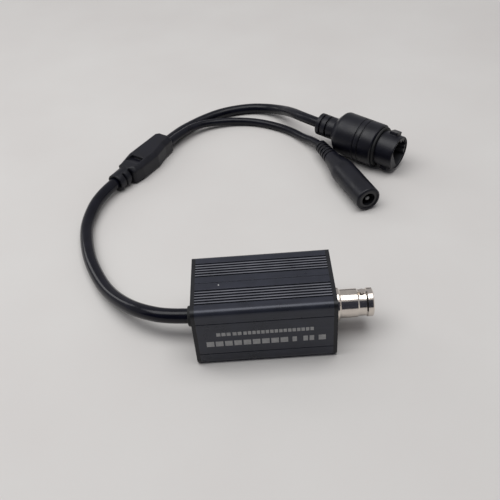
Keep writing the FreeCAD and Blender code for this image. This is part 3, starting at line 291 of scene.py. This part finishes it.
# The painted highlight on a crest fades in between these two shares of the rib pitch
CREST_EDGE = 0.32
CREST_FULL = 0.44

# The nick beside the middle line
NICK = (-14.0, -1.15, 24.0)
NICK_RADIUS = 0.22

# Sizes of the tube's uneven dye, of its streaks and of the grain from its etching bath
DYE_PATCH = 7.0
DIE_STREAK = 0.5
ETCHED_GRAIN = 0.22

# Sizes of the plating's patches and of the turning marks under it
PLATED_PATCH = 2.5
TURNING_MARK = 0.12

# How far marks are drawn out along the tube, and around the turned socket
DRAWN_OUT = (0.02, 1, 1)
TURNED_ROUND = (1, 0.05, 0.05)


def rib_crests(tree, place):
    """One on the middle of each rib crest, falling to zero at the edges of the ribs; the
    mask of the painted crest highlight.
    """
    across = add(tree, "ShaderNodeSeparateXYZ", {"Vector": place}).outputs["Y"]
    out = add(tree, "ShaderNodeMath", {0: across}, operation="ABSOLUTE")
    from_first = add(tree, "ShaderNodeMath", {0: out, 1: RIB_START * MM},
                     operation="SUBTRACT")
    wave = add(tree, "ShaderNodeMath", {0: from_first, 1: RIB_PITCH / 2 * MM},
               operation="PINGPONG")
    line = add(tree, "ShaderNodeMapRange", {
        "Value": wave, "From Min": RIB_PITCH * CREST_EDGE * MM,
        "From Max": RIB_PITCH * CREST_FULL * MM})
    begun = add(tree, "ShaderNodeMath", {0: out, 1: RIB_START * MM},
                operation="GREATER_THAN")
    going = add(tree, "ShaderNodeMath", {0: out, 1: RIB_END * MM}, operation="LESS_THAN")
    inside = add(tree, "ShaderNodeMath", {0: begun, 1: going}, operation="MULTIPLY")
    return add(tree, "ShaderNodeMath", {0: line, 1: inside}, operation="MULTIPLY")


def anodised_extrusion():
    """Black anodised 6063 aluminium, drawn through a die: a satin dark grey with faint
    streaks along the tube, a painted highlight in pale metal grey along the rib crests, and
    one bright nick beside the middle line."""
    material, tree = new_material("black_anodised_extrusion")
    place = place_on_piece(tree)
    along = place_on_piece(tree, DRAWN_OUT)
    tone = drift(tree, place, DYE_PATCH, PATCH_DETAIL, low=0, high=1)
    dyed = add(tree, "ShaderNodeMix", {
        AMOUNT: tone, FIRST: linear("#272A33"), SECOND: linear("#313440")},
        data_type="RGBA")
    streak = drift(tree, along, DIE_STREAK, GRAIN_DETAIL, low=0, high=0.5)
    streaked = add(tree, "ShaderNodeMix", {
        AMOUNT: streak, FIRST: dyed, SECOND: linear("#383941")}, data_type="RGBA")
    # Painted highlight: a pale metal grey on the middle of each rib crest, standing in for
    # light caught along the ribs, its strength drifting along the tube
    highlight_strength = drift(tree, place, DYE_PATCH, PATCH_DETAIL, low=0.55, high=0.95)
    painted_crest_highlight = add(tree, "ShaderNodeMath", {0: rib_crests(tree, place), 1: highlight_strength},
                 operation="MULTIPLY")
    highlighted_colour = add(tree, "ShaderNodeMix", {
        AMOUNT: painted_crest_highlight, FIRST: streaked, SECOND: linear("#8C8D94")}, data_type="RGBA")
    apart = add(tree, "ShaderNodeVectorMath", {0: place, 1: Vector(NICK) * MM},
                operation="DISTANCE")
    nick = add(tree, "ShaderNodeMath", {0: apart, 1: NICK_RADIUS * MM},
               operation="LESS_THAN")
    close_material(tree, {
        "Base Color": add(tree, "ShaderNodeMix", {
            AMOUNT: nick, FIRST: highlighted_colour, SECOND: linear("#D8D8D8")}, data_type="RGBA"),
        "Metallic": 0.35,
        "Roughness": drift(tree, place, DYE_PATCH, PATCH_DETAIL, low=0.26, high=0.34),
        "Normal": relief(tree, place, ETCHED_GRAIN, GRAIN_DETAIL, depth_mm=0.012,
                         edge_mm=0.15),
    })
    return material


def anodised_plate():
    """Black anodised aluminium sheet, blasted before the bath: even, satin, a little
    darker than the tube."""
    return plain_finish("black_anodised_sheet", "#15161A", "#1C1D22", (0.4, 0.5),
                        metallic=0.35, patch_mm=5.0, grain_mm=0.2, grain_depth_mm=0.012)


def nickel_plating():
    """Bright nickel on turned brass: warm grey mirror with faint turning marks."""
    material, tree = new_material("bright_nickel_plating")
    place = place_on_piece(tree)
    turned = place_on_piece(tree, TURNED_ROUND)
    tone = drift(tree, place, PLATED_PATCH, detail=3.0, low=0, high=1)
    close_material(tree, {
        "Base Color": add(tree, "ShaderNodeMix", {
            AMOUNT: tone, FIRST: linear("#D6CEC6"), SECOND: linear("#E1D9D0")},
            data_type="RGBA"),
        "Metallic": 1.0,
        "Roughness": drift(tree, place, PLATED_PATCH, detail=3.0, low=0.1, high=0.18),
        "Normal": relief(tree, turned, TURNING_MARK, detail=2.0, depth_mm=0.004),
    })
    return material


def extruded_pvc(name, roughness):
    """Extruded PVC jacket: satin black with a soft sheen and faint handling marks."""
    return plain_finish(name, "#090A13", "#0F101B", roughness, patch_mm=5.0, grain_mm=0.5,
                        grain_depth_mm=0.008, shine=0.26)


def moulded_pvc(name, edge_mm):
    """Over-moulded PVC: black with the spark-eroded grain of the mould."""
    return plain_finish(name, "#090A13", "#0F101B", (0.32, 0.44), patch_mm=6.0,
                        grain_mm=0.28, grain_depth_mm=0.02, shine=0.34, edge_mm=edge_mm)


def black_oxide_steel():
    """Black oxide on steel screws: a thin dark film over a weak shine of metal."""
    return plain_finish("black_oxide_steel", "#121214", "#1C1C1F", (0.3, 0.42),
                        metallic=0.7, patch_mm=1.0, grain_mm=0.12, grain_depth_mm=0.004)


def zinc_plated_steel():
    """Zinc plating on stamped steel: a cool grey metal, a little dull."""
    return plain_finish("zinc_plated_steel", "#9A9B9A", "#B5B6B4", (0.3, 0.42),
                        metallic=1.0, patch_mm=1.5, grain_mm=0.2, grain_depth_mm=0.005)


def gold_flash():
    """Thin gold plating over nickel on contacts: a bright yellow metal."""
    return plain_finish("gold_flash_plating", "#C49A48", "#D8B160", (0.18, 0.28),
                        metallic=1.0, patch_mm=1.0, grain_mm=0.1, grain_depth_mm=0.003)


def tin_plating():
    """Tin plating on stamped brass: a dull grey metal."""
    return plain_finish("tin_plating", "#6E6F70", "#858687", (0.42, 0.55), metallic=1.0,
                        patch_mm=1.0, grain_mm=0.1, grain_depth_mm=0.003)


def drawn_can_metal():
    """Drawn aluminium or steel cans: bright metal with a slight blur."""
    return plain_finish("drawn_can_metal", "#B5B5B0", "#CCCCC8", (0.22, 0.32),
                        metallic=1.0, patch_mm=2.0, grain_mm=0.2, grain_depth_mm=0.003)


def white_acetal():
    """Turned white acetal: clean off-white with a satin gloss."""
    return plain_finish("white_acetal", "#DADAD4", "#E6E6E1", (0.35, 0.45), patch_mm=2.0,
                        grain_mm=0.2, grain_depth_mm=0.004)


def black_acetal():
    """Moulded black acetal: dark grey with a satin gloss."""
    return plain_finish("black_acetal", "#1E1F22", "#292A2E", (0.35, 0.45), patch_mm=2.0,
                        grain_mm=0.2, grain_depth_mm=0.006)


def moulded_rubber():
    """Moulded black rubber: matt, with next to no gloss."""
    return plain_finish("moulded_rubber", "#0E0F10", "#151618", (0.6, 0.72), patch_mm=3.0,
                        grain_mm=0.3, grain_depth_mm=0.02)


def glass_filled_nylon():
    """Moulded glass-filled nylon: dark grey with a dry, slightly rough skin."""
    return plain_finish("glass_filled_nylon", "#2A2B2E", "#34353A", (0.45, 0.55),
                        patch_mm=3.0, grain_mm=0.25, grain_depth_mm=0.01)


def natural_nylon():
    """Moulded nylon with no dye: warm off-white, half matt."""
    return plain_finish("natural_nylon", "#CDC8B6", "#DCD8C8", (0.4, 0.5), patch_mm=2.0,
                        grain_mm=0.2, grain_depth_mm=0.005)


def green_solder_mask():
    """Solder mask screened on a circuit board: deep green with an uneven gloss."""
    return plain_finish("green_solder_mask", "#14452A", "#1D5A38", (0.3, 0.42),
                        patch_mm=4.0, grain_mm=0.4, grain_depth_mm=0.01)


def moulded_epoxy():
    """Moulded epoxy packages: near black, fine-grained and matt."""
    return plain_finish("moulded_epoxy_package", "#1C1D1E", "#262728", (0.5, 0.62),
                        patch_mm=2.0, grain_mm=0.15, grain_depth_mm=0.008)


def red_wire_insulation():
    """Extruded PVC on hook-up wire: dark red, satin."""
    return plain_finish("red_wire_insulation", "#7E1B16", "#94251E", (0.4, 0.5),
                        patch_mm=2.0, grain_mm=0.2, grain_depth_mm=0.005)


def print_ink():
    """Screen-printed ink: flat pale grey, uneven from place to place."""
    return plain_finish("screen_print_ink", "#9A9A9B", "#AFAFAE", (0.5, 0.6),
                        patch_mm=1.2, grain_mm=0.15, grain_depth_mm=0.004)


def matt_laminate():
    """Matt laminate of a table top: warm pale grey with very faint unevenness."""
    return plain_finish("matt_laminate", "#CFCCC9", "#D3D1CE", (0.6, 0.7), patch_mm=60.0,
                        grain_mm=0.8, grain_depth_mm=0.01)


def dark_cotton():
    """Woven dark cotton: bluish grey, fully matt, with its weave drawn coarse."""
    return plain_finish("dark_cotton", "#3A3D47", "#434651", (0.9, 1.0), patch_mm=80.0,
                        grain_mm=2.0, grain_depth_mm=0.1, shine=0.0)


def paint_cad_nodes():
    """Give every node that stays visible its own finish."""
    finishes = (
        (anodised_extrusion(), ("housing_extrusion",)),
        (anodised_plate(), ("bnc_end_plate", "cable_end_plate")),
        (black_oxide_steel(), ("bnc_plate_screws", "cable_plate_screws")),
        (nickel_plating(), ("bnc_body",)),
        (white_acetal(), ("bnc_insulator",)),
        (gold_flash(), ("bnc_centre_contact", "network_contacts")),
        (zinc_plated_steel(), ("bnc_lock_washer", "bnc_panel_nut")),
        (moulded_rubber(), ("cable_grommet", "sealing_ring")),
        (green_solder_mask(), ("main_board",)),
        (moulded_epoxy(), ("encoder_chip", "video_receiver_chip", "memory_chip",
                           "ethernet_transformer", "power_inductor")),
        (drawn_can_metal(), ("clock_crystal", "capacitors")),
        (natural_nylon(), ("wire_header", "wire_plug")),
        (red_wire_insulation(), ("inner_wires",)),
        (moulded_pvc("moulded_pvc_soft_edges", edge_mm=1.3), ("splitter_moulding",)),
        (moulded_pvc("moulded_pvc_crisp_edges", edge_mm=0.5),
         ("network_socket_body", "power_socket_body")),
        (glass_filled_nylon(), ("network_socket_insert",)),
        (black_acetal(), ("power_socket_liner",)),
        (tin_plating(), ("power_socket_contact", "power_socket_pin")),
    )
    for material, nodes in finishes:
        for node in nodes:
            NODES[node].data.materials.clear()
            NODES[node].data.materials.append(material)


def paint_cords():
    """The thick cable's jacket is a little glossier than that of the two thin leads."""
    cable_pvc = extruded_pvc("extruded_pvc_cable_jacket", roughness=(0.15, 0.22))
    lead_pvc = extruded_pvc("extruded_pvc_lead_jacket", roughness=(0.25, 0.35))
    main_cable.data.materials.append(cable_pvc)
    network_lead.data.materials.append(lead_pvc)
    power_lead.data.materials.append(lead_pvc)


paint_cad_nodes()
paint_cords()


# Printed bars on the front face, made by a node tree that repeats one block along a row

# Groups in each printed row, as lowest X, highest X and number of blocks, in millimetres
UPPER_GROUPS = ((-15.6, -11.05, 3), (-10.4, -7.6, 2), (-7.0, 15.35, 16))
LOWER_GROUPS = ((-19.1, 7.1, 9), (8.5, 9.9, 1), (12.0, 15.45, 2), (16.9, 19.2, 1))

# Each row with the height of its middle, the height of its blocks and the gap between them
UPPER_ROW = {"groups": UPPER_GROUPS, "middle": 14.05, "height": 1.5, "gap": 0.34}
LOWER_ROW = {"groups": LOWER_GROUPS, "middle": 9.7, "height": 2.3, "gap": 0.55}
INK_THICKNESS = 0.04
INK_SUNK = 0.01


def block_row_tree(ink):
    """Geometry nodes: Count blocks, one Pitch apart, each of the given size."""
    tree = bpy.data.node_groups.new("printed_block_row", "GeometryNodeTree")
    tree.interface.new_socket("Geometry", in_out="OUTPUT", socket_type="NodeSocketGeometry")
    tree.interface.new_socket("Count", in_out="INPUT", socket_type="NodeSocketInt")
    for name in ("Pitch", "Block Width", "Block Height", "Thickness"):
        tree.interface.new_socket(name, in_out="INPUT", socket_type="NodeSocketFloat")
    sizes = add(tree, "NodeGroupInput").outputs
    step = add(tree, "ShaderNodeCombineXYZ", {"X": sizes["Pitch"]})
    line = add(tree, "GeometryNodeMeshLine", {"Count": sizes["Count"], "Offset": step})
    size = add(tree, "ShaderNodeCombineXYZ", {
        "X": sizes["Block Width"], "Y": sizes["Thickness"], "Z": sizes["Block Height"]})
    block = add(tree, "GeometryNodeMeshCube", {"Size": size})
    copies = add(tree, "GeometryNodeInstanceOnPoints", {"Points": line, "Instance": block})
    real = add(tree, "GeometryNodeRealizeInstances", {"Geometry": copies})
    inked = add(tree, "GeometryNodeSetMaterial", {"Geometry": real, "Material": ink})
    add(tree, "NodeGroupOutput", {"Geometry": inked})
    return tree


def block_row(tree, sizes):
    """One row of blocks as a plain mesh, with its first block at the origin."""
    holder = bpy.data.objects.new("block_row", bpy.data.meshes.new("block_row"))
    bpy.context.scene.collection.objects.link(holder)
    modifier = holder.modifiers.new("row", "NODES")
    modifier.node_group = tree
    for item in tree.interface.items_tree:
        if item.in_out == "INPUT":
            modifier[item.identifier] = sizes[item.name]
    ready = holder.evaluated_get(bpy.context.evaluated_depsgraph_get())
    mesh = bpy.data.meshes.new_from_object(ready)
    bpy.data.objects.remove(holder)
    return mesh


def printed_bars():
    """Two rows of plain blocks, a hair proud of the front face."""
    ink = print_ink()
    tree = block_row_tree(ink)
    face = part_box("housing_extrusion")[0].y - (INK_THICKNESS / 2 - INK_SUNK) * MM
    whole = bmesh.new()
    for row in (UPPER_ROW, LOWER_ROW):
        for low, high, count in row["groups"]:
            width = (high - low - row["gap"] * (count - 1)) / count
            mesh = block_row(tree, {
                "Count": count,
                "Pitch": (width + row["gap"]) * MM,
                "Block Width": width * MM,
                "Block Height": row["height"] * MM,
                "Thickness": INK_THICKNESS * MM,
            })
            mesh.transform(Matrix.Translation(
                ((low + width / 2) * MM, face, row["middle"] * MM)))
            whole.from_mesh(mesh)
    bars = bpy.data.meshes.new("printed_bars")
    whole.to_mesh(bars)
    whole.free()
    bars.materials.append(ink)
    piece = bpy.data.objects.new("printed_bars", bars)
    bpy.context.scene.collection.objects.link(piece)
    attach(piece, "root")


printed_bars()


# Stage

# The table top: half its width, and the hair by which it lies below the part
TABLE_HALF = 1.5
TABLE_DROP = 0.02 * MM

# The cloth that hangs behind the camera: half its width, its place and its height
CLOTH_HALF = 1.1
CLOTH_BACK = -0.42
CLOTH_HEIGHT = 0.72

# The room's walls, and its two lamps. The panel faces down: its aim is a hair off its
# middle, which keeps its long side along X. The window lays a streak of light on the
# cable's lower bend.
WALLS = "#ACABAD"
CEILING_PANEL = {"place": (-0.15, 0.03, 0.7), "aim": (-0.15, 0.031, 0),
                 "size": (1.0, 0.45), "watts": 4.45}
LEFT_WINDOW = {"place": (-0.71, 0.49, 0.4), "aim": (-0.05, 0.02, 0),
               "size": (0.22, 0.34), "watts": 0.6}


def stage_sheet(name, corners, material):
    """A flat four-cornered piece of scenery."""
    mesh = bpy.data.meshes.new(name)
    mesh.from_pydata(corners, [], [(0, 1, 2, 3)])
    mesh.materials.append(material)
    sheet = bpy.data.objects.new(name, mesh)
    bpy.context.scene.collection.objects.link(sheet)
    return sheet


def pale_table():
    """The table top that the part lies on."""
    stage_sheet("table_top",
                [(-TABLE_HALF, -TABLE_HALF, -TABLE_DROP),
                 (TABLE_HALF, -TABLE_HALF, -TABLE_DROP),
                 (TABLE_HALF, TABLE_HALF, -TABLE_DROP),
                 (-TABLE_HALF, TABLE_HALF, -TABLE_DROP)], matt_laminate())


def dark_cloth():
    """Dark cloth behind the camera, which gives the plating its dark band. It shows only
    in reflections: the camera sees the pale room past it, and it casts no shadow."""
    cloth = stage_sheet("dark_cloth",
                        [(CLOTH_HALF, CLOTH_BACK, 0),
                         (-CLOTH_HALF, CLOTH_BACK, 0),
                         (-CLOTH_HALF, CLOTH_BACK, CLOTH_HEIGHT),
                         (CLOTH_HALF, CLOTH_BACK, CLOTH_HEIGHT)], dark_cotton())
    cloth.visible_camera = False
    cloth.visible_shadow = False


def soft_lamp(name, place, aim, size, watts):
    """A rectangular lamp that lights the part and isn't seen itself."""
    lamp = bpy.data.lights.new(name, "AREA")
    lamp.shape = "RECTANGLE"
    lamp.size = size[0]
    lamp.size_y = size[1]
    lamp.energy = watts
    holder = bpy.data.objects.new(name, lamp)
    bpy.context.scene.collection.objects.link(holder)
    holder.visible_camera = False
    holder.location = place
    holder.rotation_euler = (Vector(aim) - Vector(place)).to_track_quat("-Z", "Y").to_euler()


def soft_room():
    """An even pale room with a wide lit panel in its ceiling and a low window at its
    left."""
    world = bpy.data.worlds.new("soft_room")
    world.use_nodes = True
    tree = world.node_tree
    tree.nodes.clear()
    walls = add(tree, "ShaderNodeBackground", {"Color": linear(WALLS)})
    add(tree, "ShaderNodeOutputWorld", {"Surface": walls})
    bpy.context.scene.world = world
    soft_lamp("ceiling_panel", **CEILING_PANEL)
    soft_lamp("left_window", **LEFT_WINDOW)


pale_table()
dark_cloth()
soft_room()
bpy.context.scene.view_settings.view_transform = "Standard"


# Cords attached to the root and their solids hidden


def declare_cord(cord, node):
    """Attach the cord to the root body, hide the solid it stands for and measure its
    centreline.
    """
    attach(cord, "root")
    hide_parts(node)
    spline_length(cord)


declare_cord(main_cable, "main_cable")
declare_cord(network_lead, "network_lead")
declare_cord(power_lead, "power_lead")
